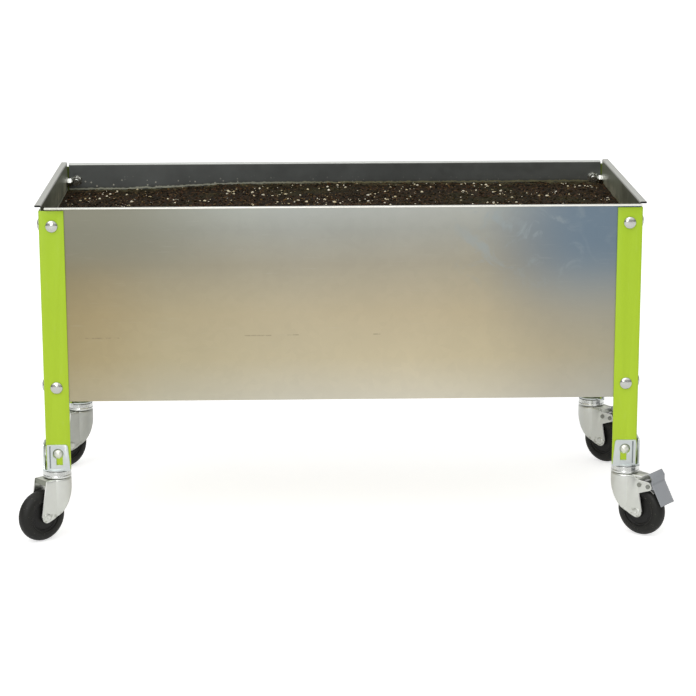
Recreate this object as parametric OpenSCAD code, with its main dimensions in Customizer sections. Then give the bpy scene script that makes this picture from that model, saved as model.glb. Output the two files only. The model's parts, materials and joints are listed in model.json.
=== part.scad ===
// Rolling planter: a galvanised sheet trough bolted inside four angle legs, on swivel casters.
// Millimetres, +Z up. The front faces -Y, and +X is to the right as seen from the front.
// The origin is on the floor, midway between the four swivel axes.

/* [Trough] */
// Length over the outer faces of the legs
trough_l = 914; // [700:1:1200]
// Depth over the outer faces of the legs
trough_d = 440; // [300:1:600]
// Height of the panels, from their lower lips to the rim
panel_h = 302; // [220:1:380]
// Thickness of the galvanised sheet
sheet_t = 1; // [0.8:0.1:1.6]
// Width of the rim, from a panel's inner face
rim_w = 10; // [8:0.5:16]
// Thickness of the rim, where the sheet is folded back on itself
rim_t = 2; // [1.6:0.1:3.2]
// Height of the end rims above the front and back rims
end_rise = 3; // [0:0.5:8]
// Gap between the back panel and each end panel
back_corner_gap = 2.5; // [0.5:0.5:5]
// Gap between the front panel and the left end panel
front_corner_gap = 5.5; // [0.5:0.5:6]
// Distance from the leg's outer face to the right end of the front rim
front_rim_right = 1.5; // [0.5:0.5:8]
// Width of the lower lips that carry the floor
lip_w = 14; // [8:1:30]
// Thickness of the drilled floor sheet
floor_t = 1.2; // [0.8:0.1:2]
// Diameter of the drain holes
drain_d = 10; // [6:1:16]
// Spacing of the drain holes
drain_pitch = 100; // [60:5:160]
// Soil level under the front rim
soil_drop = 36; // [10:1:150]

/* [Legs] */
// Width of each leg's two faces
leg_w = 38; // [34:1:50]
// Thickness of the legs
leg_t = 3; // [2:0.5:5]
// Length of the legs
leg_l = 404; // [300:1:600]
// Depth of the leg's top under the rim's upper face
leg_under_rim = 5; // [3.5:0.5:12]
// Radius of the legs' outer corner
leg_corner_r = 2; // [1:0.5:2]

/* [Trough bolts] */
// Shank diameter
bolt_d = 8; // [5:0.5:8]
// Diameter of the domed head
bolt_head_d = 19; // [14:0.5:21]
// Height of the domed head
bolt_head_h = 4.5; // [2.5:0.5:6]
// Distance from the leg's outer corner to a bolt's axis
bolt_inset = 19.5; // [19:0.5:21]
// Height of the upper bolts below the rim
bolt_top_drop = 28.5; // [20:0.5:60]
// Height of the lower bolts above the panels' lower edge
bolt_low_rise = 22.5; // [14:0.5:60]
// Washer diameter
washer_d = 18; // [14:0.5:19]
// Washer thickness
washer_t = 1.6; // [1:0.1:2]
// Nut width across flats
nut_af = 13; // [10:0.5:14]
// Nut height
nut_h = 6.5; // [4:0.5:7]
// Length of thread past the nut
bolt_tail = 2; // [0.5:0.5:2.5]

/* [Caster brackets] */
// Thickness of the bracket's sheet
bracket_t = 2.5; // [2:0.5:4]
// Height of the upright flanges above the leg's lower end
flange_h = 39.5; // [34:0.5:60]
// Width of a flange at its foot
flange_w = 36; // [28:0.5:37]
// How much a flange narrows on its inboard side towards the top
flange_taper = 3.5; // [0:0.5:6]
// Distance from the leg's outer corner to a flange's near edge
flange_inset = 1.5; // [1:0.5:6]
// Width of the groove pressed beside a flange's outer edge
groove_w = 2.2; // [0.8:0.1:3]
// Depth of that groove
groove_depth = 0.9; // [0.3:0.1:1.2]
// Gap between the side flange and the leg's side face
side_gap = 2.5; // [0:0.5:3]
// Diameter of the keyhole's round end
keyhole_d = 16.4; // [14:0.2:18]
// Height of the keyhole's round end above the leg's lower end
keyhole_rise = 25; // [20:0.5:28]
// Width of the keyhole's slot
slot_w = 10; // [6:0.5:12]
// Sideways shift of the slot from the round end
slot_shift = 2.1; // [0:0.1:3]
// Height of the slot's lower end above the leg's lower end
slot_rise = 7.2; // [4:0.2:12]
// Shank diameter of the small bolt in the keyhole
foot_bolt_d = 6; // [4:0.5:6]
// Head diameter of the small bolt
foot_head_d = 14.8; // [10:0.2:16]
// Head height of the small bolt
foot_head_h = 3.4; // [2:0.2:4]
// Width across flats of the small bolt's nut
foot_nut_af = 10; // [7:0.5:10]
// Height of the small bolt's nut
foot_nut_h = 5; // [3:0.5:5]

/* [Casters] */
// Wheel diameter
wheel_d = 80; // [60:1:100]
// Tread width
wheel_w = 24; // [18:1:26]
// Diameter of the hard core that the tyre sits on
core_d = 48; // [30:1:52]
// Distance from the swivel axis back to the axle
trail = 31.5; // [24:0.5:36]
// Distance from each of the leg's outer faces to the swivel axis
caster_inset = 14.7; // [13.5:0.1:19]
// Thickness of the fork's sheet
fork_t = 2.5; // [2:0.5:3]
// Radius of the fork's round leading side
fork_r = 22; // [20:0.5:26]
// Gap between the tread and the fork on each side
wheel_side_gap = 2.5; // [1:0.5:4]
// Room between the wheel and the fork's top plate
wheel_headroom = 14.5; // [10:0.5:24]
// Length of a plain fork's top plate behind the swivel axis
fork_reach = 31; // [28:0.5:36]
// Radius of the fork's tips round the axle
tip_r = 9; // [8:0.5:11]
// Axle diameter
axle_d = 8; // [6:0.5:10]
// Kingpin diameter
kingpin_d = 10; // [8:0.5:12]
// Radius of the race cup
cup_r = 21.5; // [21:0.1:22.5]
// Height of the race cup
cup_h = 11.3; // [10:0.1:16]
// Bevel round the race cup's upper edge
cup_shoulder = 1.4; // [0.5:0.1:2.5]
// Ball diameter
ball_d = 5.6; // [4:0.2:6]
// Number of balls in a race
ball_count = 14; // [8:1:14]

/* [Brakes] */
// Diameter of the brake's pins
pin_d = 5; // [4:0.5:6]
// Width of the pedal
pedal_w = 38; // [36:0.5:44]
// Thickness of the pedal's sheet
pedal_t = 1.6; // [1.2:0.1:2]
// Thickness of the spring leaf over the tyre
leaf_t = 1.2; // [0.8:0.1:1.6]
// Width of the spring leaf
leaf_w = 20; // [12:1:22]

/* [Caster headings at rest] */
// Direction in which the front left wheel trails, counterclockwise from +X
heading_front_left = 220; // [0:1:359]
// Direction in which the front right wheel trails
heading_front_right = 321; // [0:1:359]
// Direction in which the back left wheel trails
heading_back_left = 220; // [0:1:359]
// Direction in which the back right wheel trails
heading_back_right = 318; // [0:1:359]

/* [Hidden] */

$fn = 48;

// Clearances
fit = 0.3;         // between sheets that lie next to each other
running = 0.05;    // radial, between a shaft and what turns on it
snug = 0.02;       // radial, between a shaft and what holds it
swivel_gap = 1.2;  // between the race cup and the fork
cut = 1;           // how far a cutting shape runs past what it cuts

// Heights, from the floor up
axle_z = wheel_d / 2;
fork_top = wheel_d + wheel_headroom + fork_t;
cup_z = fork_top + swivel_gap;
plate_z = cup_z + cup_h;
leg_z = plate_z + bracket_t;
rim_z = leg_z + leg_l + leg_under_rim;
panel_z = rim_z - panel_h;
floor_z = panel_z + sheet_t;
soil_z = floor_z + floor_t;
soil_top = rim_z - soil_drop;
bolt_zs = [rim_z - bolt_top_drop, panel_z + bolt_low_rise];
foot_bolt_rise = keyhole_rise - (keyhole_d - foot_head_d) / 2 + 0.1;

// Distances inwards from the outer faces of the legs
web_out = leg_t;
web_in = leg_t + sheet_t;
end_start = web_in + fit;
front_left_stop = web_in + front_corner_gap;
back_stop = web_in + back_corner_gap;
bolt_len = web_in + washer_t + nut_h + bolt_tail;
foot_bolt_len = leg_t + foot_nut_h + 1.5;
keyhole_x = leg_w / 2 - 0.3;

// Race
cup_wall = 1.8;                            // thickness of the cup's skirt
ball_ring_r = cup_r - cup_wall - ball_d / 2 - 1.5;
race_z = fork_top + fit + ball_d + fit;    // underside of the race over the balls

// Fork, in a frame whose X runs back from the swivel axis and whose Z is height above the floor
wheel_r = wheel_d / 2;
cheek = wheel_w / 2 + wheel_side_gap;      // inner face of the fork's side plates
fork_half = cheek + fork_t;                // outer face of the fork's side plates
fork_edge_r = 3;                           // radius of the fork's upper edge
lip_drop = 8;                              // depth of a plain fork's rear lip
leaf_gap = 0.5;                            // between the tyre and the spring leaf
leaf_out = wheel_r + leaf_gap + leaf_t;    // outer face of the spring leaf, from the axle
cam_r = 5.5;                               // reach of the pedal's cam
pin_r = pin_d / 2;
ear_r = 6.5;                               // radius of the brake ears' tips
stop_pin = [trail, axle_z] + (leaf_out + pin_r) * [cos(84.8), sin(84.8)];
pivot_angle = 65.8;                        // direction of the pedal's pivot from the axle
pivot_pin = [trail, axle_z] + (leaf_out + cam_r + fit) * [cos(pivot_angle), sin(pivot_angle)];
pedal_bends = [[3.4, 22.2], [8.9, 14.7], [9.2, 5.7], [26.9, -26.8]];  // outer face, from the pivot

ZINC = [0.76, 0.77, 0.77];
GREEN = [0.66, 0.81, 0.22];
BLACK = [0.13, 0.13, 0.12];

// A corner is [its side in X, its side in Y, where its wheel trails to, whether it has a brake]
FRONT_LEFT = [-1, -1, heading_front_left, false];
FRONT_RIGHT = [1, -1, heading_front_right, true];
BACK_LEFT = [-1, 1, heading_back_left, false];
BACK_RIGHT = [1, 1, heading_back_right, true];
CORNERS = [FRONT_LEFT, FRONT_RIGHT, BACK_LEFT, BACK_RIGHT];

function arc(centre, r, from, to, steps) =
    [for (i = [0:steps]) let (a = from + (to - from) * i / steps) centre + r * [cos(a), sin(a)]];

function bezier(a, b, c, steps) =
    [for (i = [0:steps]) let (t = i / steps) a * (1 - t) ^ 2 + 2 * b * t * (1 - t) + c * t ^ 2];

// Unit normal to the right of the way from a to b
function right_of(a, b) = let (d = (b - a) / norm(b - a)) [d[1], -d[0]];

// Point i of a bent sheet's far face, a distance t to the right of its bends
function far_face(bends, i, t) =
    let (
        last = len(bends) - 1,
        before = right_of(bends[max(i - 1, 0)], bends[max(i, 1)]),
        after = right_of(bends[min(i, last - 1)], bends[min(i + 1, last)])
    )
    bends[i] + t * (before + after) / (1 + before * after);

// Puts a child that is drawn for a corner at the origin, reaching to +X and +Y, at a real corner
module at_corner(c) {
    translate([c[0] * trough_l / 2, c[1] * trough_d / 2, 0])
        mirror([c[0] > 0 ? 1 : 0, 0, 0])
            mirror([0, c[1] > 0 ? 1 : 0, 0])
                children();
}

// Puts a child that is drawn round the Z axis, trailing to +X, at a corner's swivel axis
module at_swivel(c) {
    translate([c[0] * (trough_l / 2 - caster_inset), c[1] * (trough_d / 2 - caster_inset), 0])
        rotate([0, 0, c[2]])
            children();
}

// Draws a child on the front face of a corner, and again on its side face
module on_both_faces() {
    children();
    mirror([1, -1, 0])
        children();
}

// Extrudes an outline that is drawn in X and height, sideways about the fork's middle
module sideways(width) {
    rotate([90, 0, 0])
        linear_extrude(width, center = true)
            children();
}

// A rod along Y at a point given in X and height
module cross_rod(at, r, length) {
    translate([at[0], 0, at[1]])
        rotate([90, 0, 0])
            cylinder(h = length, r = r, center = true);
}

// ---- Trough ----

// A folded panel drawn along X from x0 to x1, its outer face at Y = web_out, its rim at height top
module panel(x0, x1, rim_x0, rim_x1, lip_x0, lip_x1, top) {
    translate([x0, web_out, panel_z])
        cube([x1 - x0, sheet_t, top - panel_z]);
    translate([rim_x0, web_in - rim_w, top - rim_t])
        cube([rim_x1 - rim_x0, rim_w, rim_t]);
    translate([lip_x0, web_out, panel_z])
        cube([lip_x1 - lip_x0, sheet_t + lip_w, sheet_t]);
}

module bolt_holes(length) {
    for (x = [bolt_inset, length - bolt_inset], z = bolt_zs)
        translate([x, -cut, z])
            rotate([-90, 0, 0])
                cylinder(h = web_in + 2 * cut, r = bolt_d / 2 + fit);
}

module front_panel() {
    right = trough_l - web_out - fit;
    color(ZINC)
        translate([-trough_l / 2, -trough_d / 2, 0])
            difference() {
                panel(
                    front_left_stop, right,
                    front_left_stop, trough_l - front_rim_right,
                    front_left_stop, trough_l - end_start, rim_z
                );
                bolt_holes(trough_l);
            }
}

module back_panel() {
    color(ZINC)
        translate([-trough_l / 2, trough_d / 2, 0])
            mirror([0, 1, 0])
                difference() {
                    panel(
                        back_stop, trough_l - back_stop,
                        back_stop, trough_l - back_stop,
                        back_stop, trough_l - back_stop, rim_z
                    );
                    bolt_holes(trough_l);
                }
}

module end_panel() {
    inner = web_in + lip_w + fit;
    difference() {
        panel(
            end_start, trough_d - end_start,
            end_start, trough_d - end_start,
            inner, trough_d - inner, rim_z + end_rise
        );
        bolt_holes(trough_d);
    }
}

module left_end_panel() {
    color(ZINC)
        translate([-trough_l / 2, trough_d / 2, 0])
            rotate([0, 0, -90])
                end_panel();
}

module right_end_panel() {
    color(ZINC)
        translate([trough_l / 2, -trough_d / 2, 0])
            rotate([0, 0, 90])
                end_panel();
}

module floor_panel() {
    size = [trough_l, trough_d] - 2 * (web_in + fit) * [1, 1];
    columns = floor((size[0] - 2 * lip_w - drain_d) / drain_pitch / 2);
    rows = floor((size[1] - 2 * lip_w - drain_d) / drain_pitch / 2);
    color(ZINC)
        translate([0, 0, floor_z])
            difference() {
                translate([-size[0] / 2, -size[1] / 2, 0])
                    cube([size[0], size[1], floor_t]);
                for (i = [-columns:columns], j = [-rows:rows])
                    translate([i * drain_pitch, j * drain_pitch, -cut])
                        cylinder(h = floor_t + 2 * cut, r = drain_d / 2);
            }
}

module soil() {
    size = [trough_l, trough_d] - 2 * (web_in + fit) * [1, 1];
    color([0.2, 0.16, 0.11])
        difference() {
            translate([-size[0] / 2, -size[1] / 2, soil_z])
                cube([size[0], size[1], soil_top - soil_z]);
            for (c = CORNERS, z = bolt_zs)
                at_corner(c)
                    on_both_faces()
                        translate([bolt_inset, web_out, z])
                            rotate([-90, 0, 0])
                                cylinder(h = bolt_len - web_out + fit, r = washer_d / 2 + fit);
        }
}

// ---- Legs ----

module leg(c) {
    color(GREEN)
        at_corner(c)
            difference() {
                translate([0, 0, leg_z])
                    linear_extrude(leg_l)
                        difference() {
                            union() {
                                translate([leg_corner_r, 0])
                                    square([leg_w - leg_corner_r, leg_w]);
                                translate([0, leg_corner_r])
                                    square([leg_w, leg_w - leg_corner_r]);
                                translate([leg_corner_r, leg_corner_r])
                                    circle(leg_corner_r);
                            }
                            translate([leg_t, leg_t])
                                square(leg_w);
                        }
                on_both_faces() {
                    for (z = bolt_zs)
                        square_hole(z, bolt_d + fit);
                    square_hole(leg_z + foot_bolt_rise, foot_bolt_d + fit, keyhole_x);
                }
            }
}

module square_hole(z, size, x = bolt_inset) {
    translate([x - size / 2, -cut, z - size / 2])
        cube([size, leg_t + 2 * cut, size]);
}

// ---- Bolts, drawn along +Y from the outer face of a leg ----

// Domed head that stands out of the face, square neck in the leg, and round shank
module carriage_bolt(d, head_d, head_h, length) {
    dome_r = (head_d ^ 2 / 4 + head_h ^ 2) / (2 * head_h);
    rotate([-90, 0, 0])
        union() {
            intersection() {
                translate([0, 0, dome_r - head_h])
                    sphere(dome_r);
                translate([0, 0, -head_h - cut])
                    cylinder(h = head_h + cut, r = head_d / 2);
            }
            translate([-d / 2, -d / 2, 0])
                cube([d, d, leg_t - fit]);
            cylinder(h = length, r = d / 2);
        }
}

module hex_nut(d, across_flats, height) {
    rotate([-90, 0, 0])
        difference() {
            rotate([0, 0, 30])
                cylinder(h = height, r = across_flats / 2 / cos(30), $fn = 6);
            translate([0, 0, -cut])
                cylinder(h = height + 2 * cut, r = d / 2 + snug);
        }
}

// Puts a child at every trough bolt, on both faces of all four legs
module at_trough_bolts(depth) {
    for (c = CORNERS, z = bolt_zs)
        at_corner(c)
            on_both_faces()
                translate([bolt_inset, depth, z])
                    children();
}

// Puts a child at every small bolt in the keyholes
module at_foot_bolts(depth) {
    for (c = CORNERS)
        at_corner(c)
            on_both_faces()
                translate([keyhole_x, depth, leg_z + foot_bolt_rise])
                    children();
}

module carriage_bolts() {
    color(ZINC)
        at_trough_bolts(0)
            carriage_bolt(bolt_d, bolt_head_d, bolt_head_h, bolt_len);
}

module washers() {
    color(ZINC)
        at_trough_bolts(web_in)
            rotate([-90, 0, 0])
                difference() {
                    cylinder(h = washer_t, r = washer_d / 2);
                    translate([0, 0, -cut])
                        cylinder(h = washer_t + 2 * cut, r = bolt_d / 2 + fit);
                }
}

module hex_nuts() {
    color(ZINC)
        at_trough_bolts(web_in + washer_t)
            hex_nut(bolt_d, nut_af, nut_h);
}

module bracket_bolts() {
    color(ZINC)
        at_foot_bolts(0)
            carriage_bolt(foot_bolt_d, foot_head_d, foot_head_h, foot_bolt_len);
}

module bracket_nuts() {
    color(ZINC)
        at_foot_bolts(leg_t)
            hex_nut(foot_bolt_d, foot_nut_af, foot_nut_h);
}

// ---- Caster brackets ----

// Upright flange with a keyhole, its outer face at Y = 0 and its inner face at Y = bracket_t
module bracket_flange() {
    top = leg_z + flange_h;
    edge = flange_inset;
    far = flange_inset + flange_w;
    difference() {
        rotate([90, 0, 0])
            translate([0, 0, -bracket_t])
                linear_extrude(bracket_t)
                    difference() {
                        polygon(concat(
                            [[edge, plate_z], [far, plate_z]],
                            arc([far - flange_taper - 4, top - 4], 4, 0, 90, 6),
                            arc([edge + 2, top - 2], 2, 90, 180, 4)
                        ));
                        translate([keyhole_x, leg_z + keyhole_rise])
                            circle(keyhole_d / 2);
                        translate([keyhole_x + slot_shift - slot_w / 2, leg_z + slot_rise])
                            square([slot_w, keyhole_rise - slot_rise]);
                    }
        // pressed groove beside the outer edge
        translate([edge + 3.8, -cut, leg_z + 2])
            cube([groove_w, cut + groove_depth, flange_h - 4]);
    }
}

module caster_bracket(c) {
    far = flange_inset + flange_w;
    color(ZINC)
        at_corner(c)
            difference() {
                union() {
                    // base plate, its far corner cut off
                    translate([0, 0, plate_z])
                        linear_extrude(bracket_t)
                            polygon([
                                [-side_gap - bracket_t, -bracket_t], [far, -bracket_t],
                                [far, leg_t + cut], [leg_t + cut, far],
                                [-side_gap - bracket_t, far]
                            ]);
                    translate([caster_inset, caster_inset, plate_z])
                        cylinder(h = bracket_t, r = cup_r);
                    translate([0, -bracket_t, 0])
                        bracket_flange();
                    translate([-side_gap - bracket_t, 0, 0])
                        mirror([1, -1, 0])
                            bracket_flange();
                }
                translate([caster_inset, caster_inset, plate_z - cut])
                    cylinder(h = bracket_t + 2 * cut, r = kingpin_d / 2 + snug);
            }
}

// ---- Swivels ----

module race_cup(c) {
    lip = 0.7;
    color(ZINC)
        at_swivel(c)
            rotate_extrude()
                difference() {
                    polygon([
                        [kingpin_d / 2 + fit, race_z], [kingpin_d / 2 + fit, plate_z],
                        [cup_r - cup_shoulder, plate_z], [cup_r, plate_z - cup_shoulder],
                        [cup_r, cup_z + 4],
                        [cup_r + lip, cup_z + 2.5], [cup_r + lip, cup_z],
                        [cup_r - cup_wall, cup_z], [cup_r - cup_wall, race_z]
                    ]);
                    // groove that the balls run in
                    translate([ball_ring_r, race_z])
                        circle(0.6);
                }
}

module swivel_balls(c) {
    color([0.8, 0.81, 0.83])
        at_swivel(c)
            for (i = [0:ball_count - 1])
                rotate([0, 0, i * 360 / ball_count])
                    translate([ball_ring_r, 0, fork_top + fit + ball_d / 2])
                        sphere(ball_d / 2);
}

module kingpin(c) {
    head_r = 8;
    head_h = 2.5;
    low = fork_top - fork_t - fit - head_h;
    color(ZINC)
        at_swivel(c) {
            translate([0, 0, low])
                cylinder(h = head_h, r = head_r);
            translate([0, 0, low])
                cylinder(h = leg_z - low + cut, r = kingpin_d / 2);
            translate([0, 0, leg_z])
                cylinder(h = head_h, r = head_r);
        }
}

// ---- Forks ----

// Solid shape of the pressed horn: round ahead of the axis, straight behind, soft upper edge
module fork_block(reach) {
    soft = fork_edge_r;
    rotate_extrude()
        union() {
            square([fork_r, fork_top - soft]);
            square([fork_r - soft, fork_top]);
            translate([fork_r - soft, fork_top - soft])
                intersection() {
                    circle(soft);
                    square(soft);
                }
        }
    translate([0, -fork_half, 0])
        cube([reach, 2 * fork_half, fork_top - soft]);
    translate([0, soft - fork_half, 0])
        cube([reach, 2 * (fork_half - soft), fork_top]);
    for (side = [-1, 1])
        translate([0, side * (fork_half - soft), fork_top - soft])
            rotate([0, 90, 0])
                cylinder(h = reach, r = soft);
}

// Hollow under the top plate, open at the bottom; it ends at the rear lip where there is one
module fork_hollow(reach, lip) {
    under = fork_top - fork_t;
    open_to = lip ? under - lip_drop + fork_t : under;
    translate([0, 0, -cut]) {
        cylinder(h = under + cut, r = fork_r - fork_t);
        translate([0, -cheek, 0])
            cube([reach - fork_t, 2 * cheek, under + cut]);
        translate([0, -cheek, 0])
            cube([reach + cut, 2 * cheek, open_to + cut]);
    }
}

// Outline of the side plates from behind the axle round to the leading side
function fork_lower_edge(rear) =
    concat(
        rear,
        arc([trail, axle_z], tip_r, 8, -118, 12),
        bezier(
            [trail, axle_z] + tip_r * [cos(-118), sin(-118)],
            [-3, axle_z],
            [-fork_r - cut, fork_top - 3], 8
        ),
        [[-fork_r - cut, fork_top + cut]]
    );

module plain_fork() {
    intersection() {
        difference() {
            fork_block(trail + tip_r);
            fork_hollow(fork_reach, true);
            // the side plates run on past the lip
            translate([fork_reach, -cheek, -cut])
                cube([trail + tip_r, 2 * cheek, fork_top + 2 * cut]);
        }
        sideways(3 * fork_r)
            polygon(concat([[fork_reach, fork_top + cut]], fork_lower_edge([[fork_reach, fork_top]])));
    }
}

module brake_fork() {
    tongue_w = 22;
    tongue_reach = 37;
    notch = [pivot_pin[0] - 16, pivot_pin[1] - 12.8];
    reach = pivot_pin[0] + ear_r + cut;
    intersection() {
        difference() {
            fork_block(reach);
            fork_hollow(reach, false);
            translate([fork_reach - fork_t, -cheek, -cut])
                cube([reach, 2 * cheek, fork_top + 2 * cut]);
        }
        sideways(3 * fork_r)
            polygon(concat(
                [[fork_r - 4, fork_top + cut], [fork_r - 4, fork_top]],
                [pivot_pin + [-15.5, 8]],
                fork_lower_edge(concat(arc(pivot_pin, ear_r, 88, -80, 12), [notch]))
            ));
    }
    translate([0, -tongue_w / 2, fork_top - fork_t])
        cube([tongue_reach, tongue_w, fork_t]);
}

module fork(c) {
    color(ZINC)
        at_swivel(c)
            difference() {
                if (c[3])
                    brake_fork();
                else
                    plain_fork();
                translate([0, 0, fork_top - fork_t - cut])
                    cylinder(h = fork_t + 2 * cut, r = kingpin_d / 2 + running);
                cross_rod([trail, axle_z], axle_d / 2 + snug, 2 * fork_half + 2 * cut);
                if (c[3])
                    for (pin = [stop_pin, pivot_pin])
                        cross_rod(pin, pin_r + snug, 2 * fork_half + 2 * cut);
            }
}

// ---- Axles and wheels ----

module axle(c) {
    head_r = 6;
    head_h = 1.5;
    color(ZINC)
        at_swivel(c) {
            cross_rod([trail, axle_z], axle_d / 2, 2 * fork_half + head_h);
            for (side = [-1, 1])
                translate([0, side * (fork_half + head_h / 2), 0])
                    cross_rod([trail, axle_z], head_r, head_h);
        }
}

module at_axle(c) {
    at_swivel(c)
        translate([trail, 0, axle_z])
            rotate([90, 0, 0])
                children();
}

module wheel_hub(c) {
    boss_r = axle_d / 2 + 5;
    boss_half = cheek - 0.5;
    web_half = wheel_w / 2 - 1.5;
    color(BLACK)
        at_axle(c)
            difference() {
                union() {
                    cylinder(h = 2 * boss_half, r = boss_r, center = true);
                    cylinder(h = 2 * web_half, r = core_d / 2, center = true);
                }
                cylinder(h = 2 * boss_half + 2 * cut, r = axle_d / 2 + running, center = true);
            }
}

module wheel_tyre(c) {
    crown = wheel_w / 2;
    bore = core_d / 2 + running;
    color(BLACK)
        at_axle(c)
            rotate_extrude()
                difference() {
                    union() {
                        translate([bore, -crown])
                            square([wheel_r - crown - bore, 2 * crown]);
                        translate([wheel_r - crown, 0])
                            circle(crown);
                    }
                    translate([0, -wheel_w])
                        square([bore, 2 * wheel_w]);
                }
}

// ---- Brakes ----

module brake_pins(c) {
    head_r = pin_r + 1;
    head_h = 1;
    color(ZINC)
        at_swivel(c)
            for (pin = [stop_pin, pivot_pin]) {
                cross_rod(pin, pin_r, 2 * fork_half + head_h);
                for (side = [-1, 1])
                    translate([0, side * (fork_half + head_h / 2), 0])
                        cross_rod(pin, head_r, head_h);
            }
}

// Strip that follows the tyre, curled round the stop pin at its front end
module brake_leaf(c) {
    rear_angle = 50;
    far = 3 * wheel_r;
    color([0.62, 0.63, 0.64])
        at_swivel(c)
            sideways(leaf_w)
                difference() {
                    union() {
                        translate([trail, axle_z])
                            intersection() {
                                difference() {
                                    circle(leaf_out);
                                    circle(leaf_out - leaf_t);
                                }
                                polygon([
                                    [0, 0], far * [cos(rear_angle), sin(rear_angle)],
                                    far * [cos(84.8), sin(84.8)]
                                ]);
                            }
                        translate(stop_pin)
                            circle(pin_r + leaf_t);
                    }
                    translate(stop_pin)
                        circle(pin_r + snug);
                }
}

module brake_pedal(c) {
    ends = len(pedal_bends) - 1;
    inner = [for (i = [ends:-1:0]) far_face(pedal_bends, i, pedal_t)];
    cheek_t = 1.5;
    cheek_out = cheek - 0.8;
    cam_dir = pivot_angle + 180;
    seat = pedal_t / 2;
    color([0.6, 0.61, 0.63])
        at_swivel(c)
            translate([pivot_pin[0], 0, pivot_pin[1]])
                difference() {
                    union() {
                        sideways(pedal_w)
                            polygon(concat(pedal_bends, inner));
                        difference() {
                            sideways(2 * cheek_out)
                                union() {
                                    circle(ear_r - 1.3);
                                    polygon([
                                        [0, ear_r - 1.3],
                                        far_face(pedal_bends, 2, seat) + [0, 1],
                                        far_face(pedal_bends, 2, seat),
                                        far_face(pedal_bends, 2, seat) + 11 * [cos(-61.4), sin(-61.4)],
                                        [0, 1.3 - ear_r]
                                    ]);
                                }
                            translate([-wheel_r, cheek_t - cheek_out, -wheel_r])
                                cube([2 * wheel_r, 2 * (cheek_out - cheek_t), 2 * wheel_r]);
                        }
                        sideways(2 * cheek_out)
                            union() {
                                circle(pin_r + 1.4);
                                translate((cam_r - 2) * [cos(cam_dir), sin(cam_dir)])
                                    circle(2);
                            }
                    }
                    cross_rod([0, 0], pin_r + running, pedal_w);
                }
}

front_panel();
back_panel();
left_end_panel();
right_end_panel();
floor_panel();
soil();
leg(FRONT_LEFT);  // leg_front_left
leg(FRONT_RIGHT);  // leg_front_right
leg(BACK_LEFT);  // leg_back_left
leg(BACK_RIGHT);  // leg_back_right
carriage_bolts();
washers();
hex_nuts();
bracket_bolts();
bracket_nuts();
caster_bracket(FRONT_LEFT);  // caster_bracket_front_left
caster_bracket(FRONT_RIGHT);  // caster_bracket_front_right
caster_bracket(BACK_LEFT);  // caster_bracket_back_left
caster_bracket(BACK_RIGHT);  // caster_bracket_back_right
race_cup(FRONT_LEFT);  // race_cup_front_left
race_cup(FRONT_RIGHT);  // race_cup_front_right
race_cup(BACK_LEFT);  // race_cup_back_left
race_cup(BACK_RIGHT);  // race_cup_back_right
kingpin(FRONT_LEFT);  // kingpin_front_left
kingpin(FRONT_RIGHT);  // kingpin_front_right
kingpin(BACK_LEFT);  // kingpin_back_left
kingpin(BACK_RIGHT);  // kingpin_back_right
swivel_balls(FRONT_LEFT);  // swivel_balls_front_left
swivel_balls(FRONT_RIGHT);  // swivel_balls_front_right
swivel_balls(BACK_LEFT);  // swivel_balls_back_left
swivel_balls(BACK_RIGHT);  // swivel_balls_back_right
fork(FRONT_LEFT);  // fork_front_left
fork(FRONT_RIGHT);  // fork_front_right
fork(BACK_LEFT);  // fork_back_left
fork(BACK_RIGHT);  // fork_back_right
axle(FRONT_LEFT);  // axle_front_left
axle(FRONT_RIGHT);  // axle_front_right
axle(BACK_LEFT);  // axle_back_left
axle(BACK_RIGHT);  // axle_back_right
wheel_hub(FRONT_LEFT);  // wheel_hub_front_left
wheel_hub(FRONT_RIGHT);  // wheel_hub_front_right
wheel_hub(BACK_LEFT);  // wheel_hub_back_left
wheel_hub(BACK_RIGHT);  // wheel_hub_back_right
wheel_tyre(FRONT_LEFT);  // wheel_tyre_front_left
wheel_tyre(FRONT_RIGHT);  // wheel_tyre_front_right
wheel_tyre(BACK_LEFT);  // wheel_tyre_back_left
wheel_tyre(BACK_RIGHT);  // wheel_tyre_back_right
brake_pedal(FRONT_RIGHT);  // brake_pedal_front_right
brake_pedal(BACK_RIGHT);  // brake_pedal_back_right
brake_pins(FRONT_RIGHT);  // brake_pins_front_right
brake_pins(BACK_RIGHT);  // brake_pins_back_right
brake_leaf(FRONT_RIGHT);  // brake_leaf_front_right
brake_leaf(BACK_RIGHT);  // brake_leaf_back_right
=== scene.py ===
"""The rolling planter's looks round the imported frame: finishes, soil, tyres, drums, fasteners."""

import json
import math
import random

import bmesh
import bpy
from mathutils import Matrix, Vector, noise


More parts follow.
